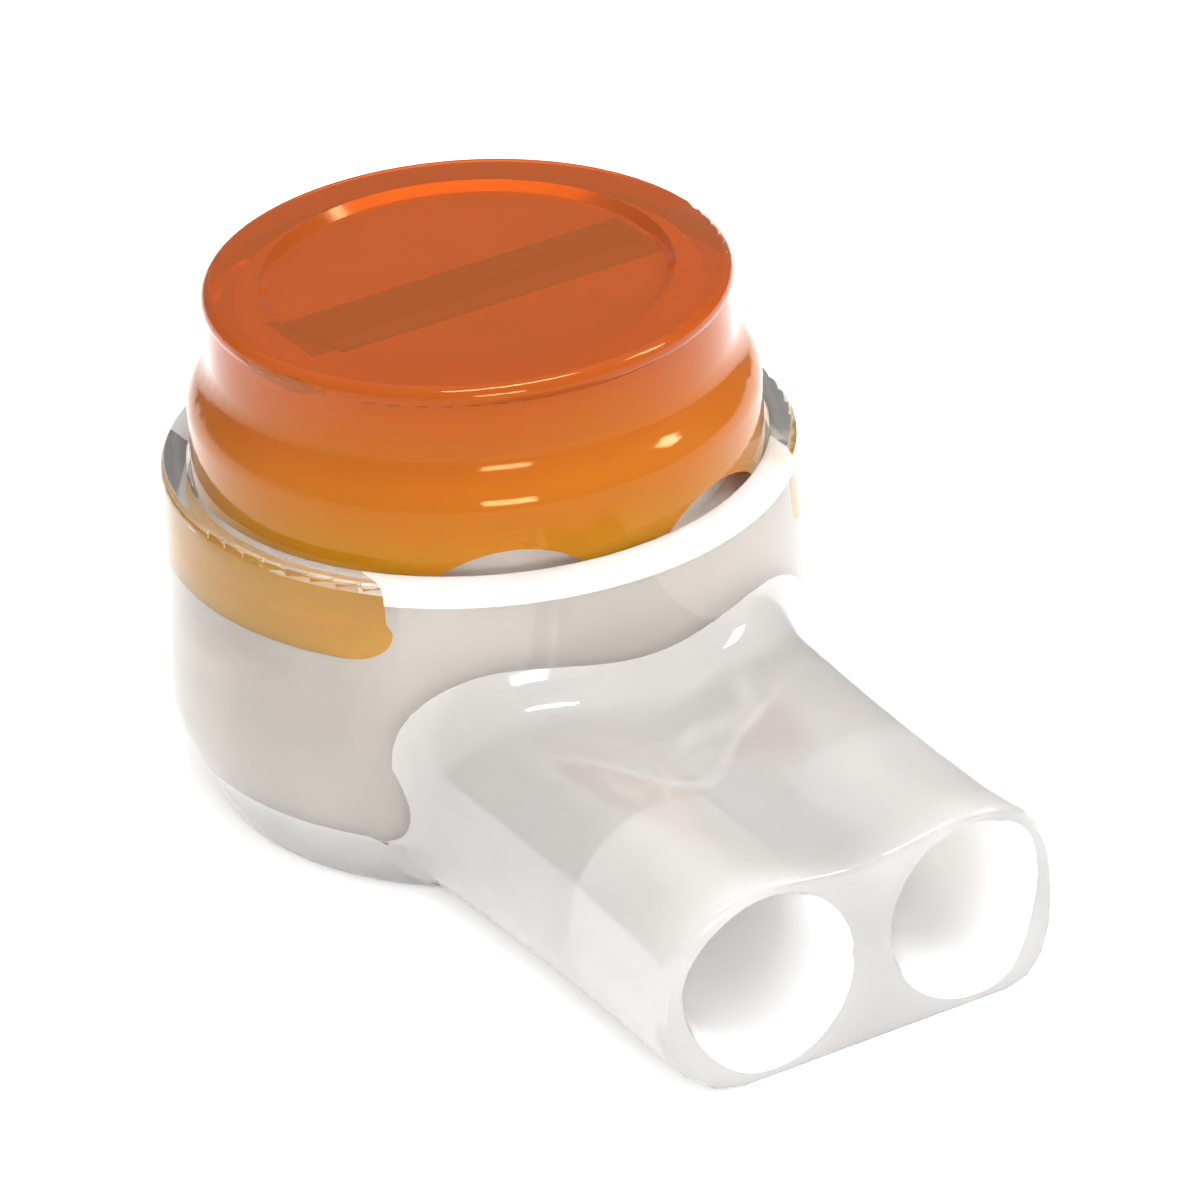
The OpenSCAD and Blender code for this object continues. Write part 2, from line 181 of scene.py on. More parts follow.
class SpliceBodySettings(bpy.types.PropertyGroup):
    """Finish of the clear moulding and of the gel in it"""
    plastic_color: FloatVectorProperty(
        name="Plastic colour", description="Tint of the clear plastic",
        subtype="COLOR", size=3, min=0, max=1, default=(0.98, 0.975, 0.965))
    milky_color: FloatVectorProperty(
        name="Milky colour", description="Tint of the plastic where it is thick",
        subtype="COLOR", size=3, min=0, max=1, default=(0.64, 0.625, 0.61))
    # Near-white tint that paints light: the highlight on the rim and the light that lifts the shade inside
    # the spout's mouths
    mouth_color: FloatVectorProperty(
        name="Mouth colour", description="Tint of the bright rim and of the insides of the spout's mouths",
        subtype="COLOR", size=3, min=0, max=1, default=(0.99, 0.985, 0.975))
    milkiness: FloatProperty(
        name="Milkiness", description="Share of the light that thick plastic scatters back",
        min=0, max=1, default=0.4)
    plastic_haze: FloatProperty(
        name="Haze", description="Roughness that blurs what is seen through the plastic",
        min=0, max=1, default=0.04)
    clearness: FloatProperty(
        name="Clearness", description="Share of the light that passes through the plastic",
        min=0, max=1, default=1)
    gel_color: FloatVectorProperty(
        name="Gel colour", description="Tint of the sealing gel",
        subtype="COLOR", size=3, min=0, max=1, default=(1.0, 0.94, 0.87))
    gel_cloud: FloatProperty(
        name="Gel cloudiness", description="Share of the light that the gel scatters back",
        min=0, max=1, default=0.56)


class SpliceButtonSettings(bpy.types.PropertyGroup):
    """Finish of the amber button and of the contact that it carries"""
    amber_color: FloatVectorProperty(
        name="Amber colour", description="Colour of the dye that the light meets on its way through",
        subtype="COLOR", size=3, min=0, max=1, default=(0.91, 0.56, 0.04))
    amber_density: FloatProperty(
        name="Amber density", description="How strongly a metre of the dyed plastic takes light",
        min=0, default=2000)
    # Near-black colour of the strip: a painted dark reflection, much darker than bare tin
    metal_color: FloatVectorProperty(
        name="Metal colour", description="Colour of the tinned strip",
        subtype="COLOR", size=3, min=0, max=1, default=(0.11, 0.10, 0.10))


class SpliceStageSettings(bpy.types.PropertyGroup):
    """Camera and floor"""
    azimuth: FloatProperty(
        name="Azimuth", description="Angle of the camera round the connector, from the -Y side",
        subtype="ANGLE", default=math.radians(59.9))
    elevation: FloatProperty(
        name="Elevation", description="Angle of the camera above the horizon",
        subtype="ANGLE", default=math.radians(27.4))
    roll: FloatProperty(
        name="Roll", description="Angle by which the camera leans about its own line of sight",
        subtype="ANGLE", default=math.radians(-3.41))
    distance: FloatProperty(
        name="Distance", description="Distance from the camera to the point that it is aimed by",
        subtype="DISTANCE", unit="LENGTH", default=122.45 * MM)
    target: FloatVectorProperty(
        name="Target", description="Point that the camera is aimed by",
        subtype="XYZ", unit="LENGTH", size=3, default=(10.276 * MM, -3.618 * MM, 10.214 * MM))
    focal_length: FloatProperty(
        name="Focal length", description="Focal length of the lens in millimetres",
        default=260.63)
    shift: FloatVectorProperty(
        name="Shift", description="Shift of the lens that frames the connector as the photograph does",
        size=2, default=(-0.00963, -0.10133))
    floor_color: FloatVectorProperty(
        name="Floor colour", description="Colour of the pale floor",
        subtype="COLOR", size=3, min=0, max=1, default=(0.93, 0.93, 0.93))


def set_values(node, values):
    """Sets constants on a node's sockets by name, and gives each colour its alpha"""
    for label, value in values.items():
        socket = node.inputs[label]
        socket.default_value = (*value, 1) if socket.type == "RGBA" else value


def material(name, values):
    """New material, and its Principled BSDF with these constants"""
    made = bpy.data.materials.new(name)
    made.use_nodes = True
    shader = made.node_tree.nodes["Principled BSDF"]
    set_values(shader, values)
    return made, shader


def noise(tree, scale, detail, stretch=(1, 1, 1)):
    """Noise over the object's own coordinates, with so many waves to the metre"""
    place = tree.nodes.new("ShaderNodeTexCoord")
    mapping = tree.nodes.new("ShaderNodeMapping")
    set_values(mapping, {"Scale": stretch})
    tree.links.new(place.outputs["Object"], mapping.inputs["Vector"])
    pattern = tree.nodes.new("ShaderNodeTexNoise")
    set_values(pattern, {"Scale": scale, "Detail": detail})
    tree.links.new(mapping.outputs["Vector"], pattern.inputs["Vector"])
    return pattern.outputs["Fac"]


def calculated(tree, operation, *values):
    """Math node that works on sockets in their order"""
    step = tree.nodes.new("ShaderNodeMath")
    step.operation = operation
    for socket, value in zip(step.inputs, values):
        tree.links.new(value, socket)
    return step.outputs["Value"]


def between(tree, factor, low, high, kind="FLOAT"):
    """Mix node that goes from one socket to another with a factor"""
    mix = tree.nodes.new("ShaderNodeMix")
    mix.data_type = kind
    tree.links.new(factor, mix.inputs["Factor"])
    tree.links.new(low, mix.inputs["A"])
    tree.links.new(high, mix.inputs["B"])
    return mix.outputs["Result"]


def spread(tree, value, low, high, start=0, end=1, curve="SMOOTHSTEP"):
    """Map Range node that takes the band of a value from low to high to one from start to end"""
    band = tree.nodes.new("ShaderNodeMapRange")
    band.interpolation_type = curve
    set_values(band, {"From Min": low, "From Max": high, "To Min": start, "To Max": end})
    tree.links.new(value, band.inputs["Value"])
    return band.outputs["Result"]


def height_of(tree, place):
    """Z of a socket that holds a place or a direction"""
    split = tree.nodes.new("ShaderNodeSeparateXYZ")
    tree.links.new(place, split.inputs["Vector"])
    return split.outputs["Z"]


def bumped(tree, height, distance):
    """Bump node in which a height of 1 stands out by a distance"""
    bump = tree.nodes.new("ShaderNodeBump")
    set_values(bump, {"Distance": distance})
    tree.links.new(height, bump.inputs["Height"])
    return bump.outputs["Normal"]


def effect(name, inputs, output):
    """New shader node group with named sockets: the group, what it is given and what it puts out"""
    group = bpy.data.node_groups.new(name, "ShaderNodeTree")
    for label, kind in inputs.items():
        group.interface.new_socket(label, in_out="INPUT", socket_type=kind)
    label, kind = output
    group.interface.new_socket(label, in_out="OUTPUT", socket_type=kind)
    start, end = group.nodes.new("NodeGroupInput"), group.nodes.new("NodeGroupOutput")
    return group, start.outputs, end.inputs


def moulded_skin():
    """Effect: slow waves where the melt flowed and shrank, and the fine grain of the mould"""
    group, given, result = effect("moulded_skin", {"Wave": FLOAT, "Grain": FLOAT}, ("Height", FLOAT))
    waves = calculated(group, "MULTIPLY", noise(group, scale=420, detail=0), given["Wave"])
    grain = calculated(group, "MULTIPLY", noise(group, scale=9000, detail=1), given["Grain"])
    group.links.new(calculated(group, "ADD", waves, grain), result["Height"])
    return group


def drifting_tone():
    """Effect: colour that drifts between two tones in soft clouds"""
    group, given, result = effect("drifting_tone", {"Tone": COLOR, "Cloud": COLOR}, ("Color", COLOR))
    clouds = spread(group, noise(group, scale=330, detail=2), low=0.35, high=0.65)
    group.links.new(between(group, clouds, given["Tone"], given["Cloud"], "RGBA"), result["Color"])
    return group


def handled_gloss():
    """Effect: gloss with dull smudges and hair-fine scuffs from handling"""
    group, given, result = effect("handled_gloss", {"Clean": FLOAT, "Dull": FLOAT}, ("Roughness", FLOAT))
    smudges = spread(group, noise(group, scale=600, detail=3), low=0.48, high=0.72)
    scuffs = spread(group, noise(group, scale=2600, detail=1, stretch=(1, 0.08, 1)), low=0.72, high=0.8)
    dull = calculated(group, "MAXIMUM", smudges, scuffs)
    group.links.new(between(group, dull, given["Clean"], given["Dull"]), result["Roughness"])
    return group


def depth_tones():
    """Effect: golden where the amber is thin, at the ears, and redder towards the thick top"""
    group, given, result = effect("depth_tones", {"Streaks": FLOAT}, ("Color", COLOR))
    place = group.nodes.new("ShaderNodeTexCoord")
    height = spread(group, height_of(group, place.outputs["Object"]), AMBER_LOW_Z, AMBER_HIGH_Z,
                    curve="LINEAR")
    streaks = noise(group, scale=500, detail=3, stretch=(1, 1, 0.4))
    tones = group.nodes.new("ShaderNodeValToRGB")
    stops = tones.color_ramp.elements
    for level, _ in AMBER_TONES[1:-1]:
        stops.new(level)
    for stop, (_, tone) in zip(stops, AMBER_TONES):
        stop.color = (*tone, 1)
    depth = calculated(group, "MULTIPLY_ADD", streaks, given["Streaks"], height)
    group.links.new(depth, tones.inputs["Fac"])
    group.links.new(tones.outputs["Color"], result["Color"])
    return group


def place_effect(made, build, values):
    """Places an effect in a material with its own values, and builds it for the first one"""
    node = made.node_tree.nodes.new("ShaderNodeGroup")
    node.node_tree = bpy.data.node_groups.get(build.__name__) or build()
    set_values(node, values)
    return node.outputs[0]


def mould_surface(made, shader, wave, grain, clean, dull):
    """Gives a moulded piece its waves, grain and handled gloss"""
    tree = made.node_tree
    skin = place_effect(made, moulded_skin, {"Wave": wave, "Grain": grain})
    tree.links.new(bumped(tree, skin, distance=1), shader.inputs["Normal"])
    gloss = place_effect(made, handled_gloss, {"Clean": clean, "Dull": dull})
    tree.links.new(gloss, shader.inputs["Roughness"])


def tint(made, shader, color, cloud):
    """Gives a piece a colour that drifts to a share of itself, called cloud"""
    darker = [channel * cloud for channel in color]
    drift = place_effect(made, drifting_tone, {"Tone": color, "Cloud": darker})
    made.node_tree.links.new(drift, shader.inputs["Base Color"])


def absorb(made, settings):
    """Fills a material with the amber dye"""
    nodes, links = made.node_tree.nodes, made.node_tree.links
    dye = nodes.new("ShaderNodeVolumeAbsorption")
    set_values(dye, {"Color": settings.amber_color, "Density": settings.amber_density})
    links.new(dye.outputs["Volume"], nodes["Material Output"].inputs["Volume"])


def light_goes_on(name):
    """Finish of a face where gel and plastic meet, at which light goes straight on"""
    return material(name, {"Base Color": (1, 1, 1), "Roughness": 0, "IOR": MATCHED_IOR,
                           "Transmission Weight": 1})[0]


def clear_plastic(settings):
    """Thin wall of the cup, clear and glossy"""
    made, shader = material("clear_plastic", {
        "IOR": PLASTIC_IOR, "Specular IOR Level": 0.15, "Transmission Weight": settings.clearness})
    tint(made, shader, settings.plastic_color, cloud=0.97)
    haze = settings.plastic_haze
    mould_surface(made, shader, wave=12e-6, grain=0.08e-6, clean=haze, dull=haze + 0.05)
    return made


def wetted_plastic():
    """Walls of the cup and the ports, wetted by gel"""
    return light_goes_on("wetted_plastic")


def milky_plastic(name, color, milkiness):
    """Thick walls of the spout, the base and the rim, in which the haze of the plastic adds up; in
    near-white it also paints light, as the highlight on the rim and the light inside the spout's mouths
    """
    made, shader = material(name, {
        "IOR": PLASTIC_IOR, "Transmission Weight": 1 - milkiness,
        "Subsurface Weight": 1, "Subsurface Radius": (1, 0.95, 0.9), "Subsurface Scale": 0.8 * MM,
        "Coat Weight": 0.5, "Coat Roughness": 0.03})
    shader.subsurface_method = "BURLEY"
    tint(made, shader, color, cloud=0.93)
    mould_surface(made, shader, wave=16e-6, grain=0.3e-6, clean=0.08, dull=0.16)
    return made


def gel(settings, name, cloud, ior=MATCHED_IOR):
    """Gel that lets part of the light through and scatters the share called cloud"""
    made, shader = material(name, {"Roughness": 0.05, "IOR": ior, "Transmission Weight": 1 - cloud})
    tint(made, shader, settings.gel_color, cloud=0.84)
    return made


def amber_plastic(settings, name, milkiness, ior=PLASTIC_IOR):
    """Amber plastic, which scatters back the share of the light called milkiness"""
    made, shader = material(name, {
        "IOR": ior, "Specular IOR Level": 0.25, "Specular Tint": (1, 0.68, 0.3),
        "Transmission Weight": 1 - milkiness})
    tones = place_effect(made, depth_tones, {"Streaks": 0.14})
    made.node_tree.links.new(tones, shader.inputs["Base Color"])
    mould_surface(made, shader, wave=10e-6, grain=0.3e-6, clean=0.08, dull=0.16)
    absorb(made, settings)
    return made


def wetted_amber(settings):
    """Inside of the button, wetted by gel"""
    made = light_goes_on("wetted_amber")
    absorb(made, settings)
    return made


def tinned_metal(settings):
    """Strip with a tin coat, rolled along its length, its colour kept near black as a painted dark
    reflection
    """
    made, shader = material("tinned_metal", {"Metallic": 1})
    tree = made.node_tree
    tint(made, shader, settings.metal_color, cloud=0.85)
    rolled = spread(tree, noise(tree, scale=5000, detail=3, stretch=(1, 0.05, 1)), low=0.3, high=0.7)
    rough = spread(tree, rolled, low=0, high=1, start=0.28, end=0.36, curve="LINEAR")
    tree.links.new(rough, shader.inputs["Roughness"])
    tree.links.new(bumped(tree, rolled, distance=0.6e-6), shader.inputs["Normal"])
    return made


def shaded(shape, name):
    """Linked object made from a bmesh, smooth but for its sharp edges"""
    for face in shape.faces:
        face.smooth = True
    for edge in shape.edges:
        edge.smooth = len(edge.link_faces) == 2 and edge.calc_face_angle() < SHARP_ANGLE
    return linked(shape, name)


def linked(shape, name):
    """Linked object made from a bmesh, which is freed"""
    mesh = bpy.data.meshes.new(name)
    shape.to_mesh(mesh)
    shape.free()
    piece = bpy.data.objects.new(name, mesh)
    bpy.context.scene.collection.objects.link(piece)
    return piece


def closed_object(shape, name):
    """Linked object made from the closed skin in a bmesh"""
    bmesh.ops.remove_doubles(shape, verts=shape.verts, dist=WELD)
    bmesh.ops.recalc_face_normals(shape, faces=shape.faces)
    return shaded(shape, name)


def joined(parts, name):
    """One object made of several, each a closed skin of its own"""
    shape = bmesh.new()
    for part in parts:
        shape.from_mesh(part.data)
        bpy.data.objects.remove(part)
    return linked(shape, name)


def bisected(shape, place, axis, **choices):
    """Cuts a bmesh along the plane that crosses an axis at a place"""
    return bmesh.ops.bisect_plane(shape, geom=shape.verts[:] + shape.edges[:] + shape.faces[:],
                                  plane_co=axis * place, plane_no=axis, dist=WELD, **choices)


def turned(points, axis, centre, steps=64, closed=False):
    """Bmesh turned from a profile of points about an axis through a centre"""
    shape = bmesh.new()
    corners = [shape.verts.new(point) for point in points]
    pairs = list(zip(corners, corners[1:]))
    if closed:
        pairs.append((corners[-1], corners[0]))
    edges = [shape.edges.new(pair) for pair in pairs]
    bmesh.ops.spin(shape, geom=corners + edges, cent=centre, axis=axis, dvec=(0, 0, 0),
                   angle=2 * math.pi, steps=steps, use_merge=True, use_duplicate=False)
    bmesh.ops.remove_doubles(shape, verts=shape.verts, dist=WELD)
    return shape


def lathed(profile, steps, closed=False):
    """Bmesh turned about the cup's axis from a profile of radii and heights"""
    return turned([(r, 0, z) for r, z in profile], UP, (0, 0, 0), steps, closed)


def quarter(steps):
    """Points of a quarter circle about (1, 1), from (0, 1) to (1, 0)"""
    angles = [math.pi / 2 * step / steps for step in range(steps + 1)]
    return [(1 - math.cos(angle), 1 - math.sin(angle)) for angle in angles]


def apply_modifiers(piece):
    """Makes what the modifiers do to a piece part of its mesh"""
    depsgraph = bpy.context.evaluated_depsgraph_get()
    old = piece.data
    piece.data = bpy.data.meshes.new_from_object(piece.evaluated_get(depsgraph))
    piece.modifiers.clear()
    bpy.data.meshes.remove(old)


def cut(piece, cutter):
    """Takes a cutter's space out of a piece, and the cutter out of the scene"""
    change = piece.modifiers.new("cut", "BOOLEAN")
    change.operation = "DIFFERENCE"
    change.solver = "EXACT"
    change.object = cutter
    apply_modifiers(piece)
    bpy.data.objects.remove(cutter)


def smooth_copy(node, name, seams=()):
    """Merged, smooth copy of a CAD node's mesh, cut at seams, each a place on an axis"""
    shape = bmesh.new()
    shape.from_mesh(frame["nodes"][node].data)
    bmesh.ops.remove_doubles(shape, verts=shape.verts, dist=WELD)
    for place, axis in seams:
        bisected(shape, place, axis)
    piece = shaded(shape, name)
    shading = piece.modifiers.new("flat faces stay flat", "WEIGHTED_NORMAL")
    shading.keep_sharp = True
    apply_modifiers(piece)
    return piece


def dress(piece, body, finishes, node=None):
    """Gives a piece its finishes and the body that it rides on, and hides any CAD node that it stands for
    """
    piece.data.materials.clear()
    for finish in finishes:
        piece.data.materials.append(finish)
    if node:
        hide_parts(node)
    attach(piece, body)


def share_out(piece, finish_of):
    """Gives each face of a piece the finish whose number a rule returns for it"""
    for face in piece.data.polygons:
        face.material_index = finish_of(face)


def outward(place):
    """Level arrow from the cup's axis to a place"""
    return Vector((place.x, place.y, 0))


def in_port(face):
    """True for a face of a port's wall, which looks towards the port's axis"""
    place = face.center
    to_axis = Vector((0, math.copysign(PORT_Y, place.y) - place.y, PORT_Z - place.z))
    near = place.x > 0 and to_axis.length < PORT_WALL_R
    return near and face.normal.dot(to_axis.normalized()) > FACES_PORT_AXIS


def in_cup(face):
    """True for a face of the cup's wall or floor, or of a trough, that the gel wets"""
    place, facing = face.center, face.normal
    out = outward(place)
    if out.length < WELL_R + WET and facing.dot(-out.normalized()) > FACES_CUP_AXIS:
        return FLOOR_Z < place.z < WETTED_Z
    floor_height = TROUGH_LOW_Z < place.z < FLOOR_HIGH_Z
    return out.length < WELL_R and floor_height and facing.z > FACES_UP_FROM_TROUGH


def is_thick(face):
    """True for a face of the spout, of its blend into the wall or of the base"""
    place, facing = face.center, face.normal
    if place.x > SPOUT_ROOT_X or place.z < FLOOR_Z:
        return True
    if place.x < BLEND_X:
        return False
    out = outward(place).normalized()
    sideways = abs(out.x * facing.y - out.y * facing.x)
    above = place.z > BLEND_TOP_Z and facing.z > FACES_UP_FROM_BLEND
    return sideways > FACES_SIDEWAYS or above


def rim_finish(face):
    """Painted highlight between the ears, a near-white milky finish, and over them clear outside and hazy
    on top and inside
    """
    place = face.center
    if abs(place.y) < RIM_HIGHLIGHT_Y:
        return PAINTED_RIM_HIGHLIGHT
    outside = face.normal.dot(outward(place).normalized()) > FACES_CUP_AXIS
    return CLEAR if outside and place.z < RIM_EDGE_Z else RIM_OVER_EARS


def body_finish(face):
    """Which finish a face of the body has"""
    if in_port(face):
        # Dry mouths get a near-white finish: painted light that lifts the shade inside them
        return WETTED if face.center.x < DRY_X else PAINTED_MOUTH_LIGHT
    if in_cup(face):
        return WETTED
    if face.center.z > WETTED_Z:
        return rim_finish(face)
    return MILKY if is_thick(face) else CLEAR


class SPLICE_OT_body(bpy.types.Operator):
    """Makes the clear body"""
    bl_idname = "splice.body"
    bl_label = "Body"

    def execute(self, context):
        settings = context.scene.splice_body
        piece = smooth_copy("body", "clear_body", [
            (WETTED_Z, UP), (RIM_EDGE_Z, UP), (DRY_X, ALONG),
            (RIM_HIGHLIGHT_Y, ACROSS), (-RIM_HIGHLIGHT_Y, ACROSS)])
        finishes = [
            clear_plastic(settings),
            wetted_plastic(),
            milky_plastic("milky_plastic", settings.milky_color, settings.milkiness),
            # Most milky, near-white finish inside the mouths: painted light that lifts their shade
            milky_plastic("painted_light_mouth", settings.mouth_color, milkiness=0.85),
            # Near-white milky finish on the rim between the ears: a painted highlight
            milky_plastic("painted_highlight_rim", settings.mouth_color, milkiness=0.42),
            milky_plastic("hazy_rim", settings.plastic_color, milkiness=0.12),
        ]
        dress(piece, "housing", finishes, node="body")
        share_out(piece, body_finish)
        return {"FINISHED"}


def port_plug(side):
    """Gel that fills one wire port from the cup to near the flare, with a hollow end"""
    axis_y = side * PORT_Y
    out_r = PORT_R + WET
    start_x = PORT_ROOT_X - WET
    points = [(start_x, axis_y, PORT_Z), (start_x, axis_y, PORT_Z + out_r)]
    points += [(DRY_X - PORT_DISH * back, axis_y, PORT_Z + out_r * up) for back, up in quarter(steps=6)]
    plug = closed_object(turned(points, ALONG, (0, axis_y, PORT_Z)), "port_gel")
    well = lathed([(0, FLOOR_Z), (WELL_R, FLOOR_Z), (WELL_R, RIM_Z), (0, RIM_Z)], steps=192)
    cut(plug, closed_object(well, "cutter"))
    return plug


def trough_fill(side, from_x, to_x):
    """Gel that lies in one stretch of a trough, level with the cup's floor"""
    axis_y = side * PORT_Y
    out_r = TROUGH_R + WET
    points = [(from_x, axis_y, TROUGH_Z), (from_x, axis_y, TROUGH_Z - out_r),
              (to_x, axis_y, TROUGH_Z - out_r), (to_x, axis_y, TROUGH_Z)]
    shape = turned(points, ALONG, (0, axis_y, TROUGH_Z))
    cut_back = bisected(shape, FLOOR_Z + WET, UP, clear_outer=True)
    open_edges = [part for part in cut_back["geom_cut"] if isinstance(part, bmesh.types.BMEdge)]
    bmesh.ops.contextual_create(shape, geom=open_edges)
    return closed_object(shape, "trough_gel")


def ear_space(side):
    """Space that one ear takes up in the cup, with its two round lower corners"""
    reach = 2 * WELL_R
    top_z = 2 * RIM_Z
    outline = [(EAR_EDGE_Y, top_z)]
    outline += [(EAR_EDGE_Y + EAR_CORNER_R * across, EAR_TIP_Z + EAR_CORNER_R * up)
                for across, up in quarter(steps=8)]
    outline += [(reach, EAR_TIP_Z), (reach, top_z)]
    shape = bmesh.new()
    face = shape.faces.new([shape.verts.new((-reach, side * y, z)) for y, z in outline])
    swept = bmesh.ops.extrude_face_region(shape, geom=[face])
    moved = [part for part in swept["geom"] if isinstance(part, bmesh.types.BMVert)]
    bmesh.ops.translate(shape, verts=moved, vec=(2 * reach, 0, 0))
    return closed_object(shape, "ear_space")


def cap_profile(low):
    """Radii and heights of the gel in the button, from a height up to the underside of its top"""
    skirt_r, cap_r = SKIRT_IN_R + WET, CAP_IN_R + WET
    profile = [(0, low), (GEL_R - WET, low), (GEL_R - WET, EAR_TIP_Z), (skirt_r, EAR_TIP_Z),
               (skirt_r, COLLAR_Z)]
    steps = 8
    for step in range(1, steps):
        share = step / steps
        drawn_in = (SKIRT_IN_R - CAP_IN_R) * (1 - math.cos(math.pi * share)) / 2
        profile.append((skirt_r - drawn_in, COLLAR_Z + (CAP_FLARE_Z - COLLAR_Z) * share))
    return profile + [(cap_r, CAP_FLARE_Z), (cap_r, CAP_UNDER_Z + WET), (0, CAP_UNDER_Z + WET)]


def cup_gel_finish(face):
    """Thin where the gel's skin is level, so that only its sides look cloudy"""
    return THIN if abs(face.normal.z) > FACES_UP_OR_DOWN else CLOUDY


def port_gel_finish(face):
    """Open at the hollow end in a port, where the gel meets the air, and elsewhere sunk in plastic"""
    return OPEN if face.normal.x > FACES_MOUTH and face.center.x > SPOUT_ROOT_X else SUNK


def cap_gel_finish(face):
    """Thin round the contact, which stays in sight, and where the gel rests on more gel"""
    on_contact = abs(face.center.x) < CONTACT_X and abs(face.center.y) < CONTACT_Y
    return THIN if on_contact or face.normal.z < -FACES_DOWN else CLOUDY


class SPLICE_OT_gel(bpy.types.Operator):
    """Makes the gel in the cup, the ports and the troughs"""
    bl_idname = "splice.gel"
    bl_label = "Gel"

    def execute(self, context):
        settings = context.scene.splice_body
        cloudy = gel(settings, "gel", settings.gel_cloud)
        thin = gel(settings, "thin_gel", cloud=0)
        self.cup_gel([cloudy, thin])
        self.port_gel([gel(settings, "port_gel", cloud=0.3),
                       gel(settings, "port_gel_surface", cloud=0.5, ior=PLASTIC_IOR)])
        self.wall_gel(cloudy)
        self.cap_gel([cloudy, thin])
        return {"FINISHED"}

    def cup_gel(self, finishes):
        """Gel in the middle of the cup, sunk a little into its floor"""
        piece = smooth_copy("sealing_gel", "cup_gel")
        for vertex in piece.data.vertices:
            if vertex.co.z < FLOOR_Z + WELD:
                vertex.co.z = FLOOR_Z - WET
        dress(piece, "housing", finishes, node="sealing_gel")
        share_out(piece, cup_gel_finish)

    def port_gel(self, finishes):
        """Gel in the two ports and in the troughs that lead on from them"""
        parts = []
        for side in (-1, 1):
            parts.append(port_plug(side))
            parts.append(trough_fill(side, TROUGH_END_X - WET, -POCKET_X))
            parts.append(trough_fill(side, POCKET_X, PORT_ROOT_X + WET))
        piece = joined(parts, "port_gel")
        dress(piece, "housing", finishes)
        share_out(piece, port_gel_finish)

    def wall_gel(self, finish):
        """Ring of gel along the cup's wall, cut away round the ears"""
        low, high = FLOOR_Z - WET, WETTED_Z - WET
        in_r, out_r = GEL_R - WET, WELL_R + WET
        ring = lathed([(in_r, low), (out_r, low), (out_r, high), (in_r, high)], steps=128, closed=True)
        piece = closed_object(ring, "wall_gel")
        for side in (-1, 1):
            cut(piece, ear_space(side))
        dress(piece, "housing", [finish])
        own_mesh(piece)

    def cap_gel(self, finishes):
        """Gel that fills the button above the cup's gel"""
        low = GEL_Z - WET
        shape = lathed(cap_profile(low), steps=96)
        for place, axis in ((CONTACT_X, ALONG), (-CONTACT_X, ALONG),
                            (CONTACT_Y, ACROSS), (-CONTACT_Y, ACROSS)):
            bisected(shape, place, axis)
        piece = closed_object(shape, "cap_gel")
        dress(piece, "housing", finishes)
        share_out(piece, cap_gel_finish)
        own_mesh(piece)


def button_finish(face):
    """Which finish a face of the button has: bare, wetted inside the cap, or wetted on an ear"""
    place = face.center
    out = outward(place)
    if out.length < SKIRT_IN_R + WET:
        return INSIDE if place.z < CAP_UNDER_Z + WET else BARE
    on_ear = abs(place.y) > EAR_EDGE_Y and face.normal.dot(out.normalized()) > FACES_OUT_OF_EAR
    return EAR if on_ear and place.z < WETTED_Z else BARE


class SPLICE_OT_button(bpy.types.Operator):
    """Makes the amber button"""
    bl_idname = "splice.button"
    bl_label = "Button"

    def execute(self, context):
        settings = context.scene.splice_button
        piece = smooth_copy("button_cap", "amber_button", [(WETTED_Z, UP)])
        finishes = [
            amber_plastic(settings, "amber_plastic", milkiness=0.3),
            wetted_amber(settings),
            amber_plastic(settings, "wetted_ear", milkiness=0.5, ior=MATCHED_IOR),
        ]
        dress(piece, "button", finishes, node="button_cap")
        share_out(piece, button_finish)
        return {"FINISHED"}


class SPLICE_OT_contact(bpy.types.Operator):
    """Makes the tinned contact"""
    bl_idname = "splice.contact"
    bl_label = "Contact"

    def execute(self, context):
        settings = context.scene.splice_button
        piece = smooth_copy("contact", "slotted_contact")
        dress(piece, "button", [tinned_metal(settings)], node="contact")
        return {"FINISHED"}


def add_light(name, place, target, length, width, power):
    """Soft light box, aimed at a point, with its length level; its sizes are in millimetres"""
    data = bpy.data.lights.new(name, "AREA")
    data.shape = "RECTANGLE"
    data.size = length * MM
    data.size_y = width * MM
    data.energy = power
    lamp = bpy.data.objects.new(name, data)
    bpy.context.scene.collection.objects.link(lamp)
    lamp.location = Vector(place) * MM
    lamp.rotation_euler = (Vector(target) - Vector(place)).to_track_quat("-Z", "Y").to_euler()


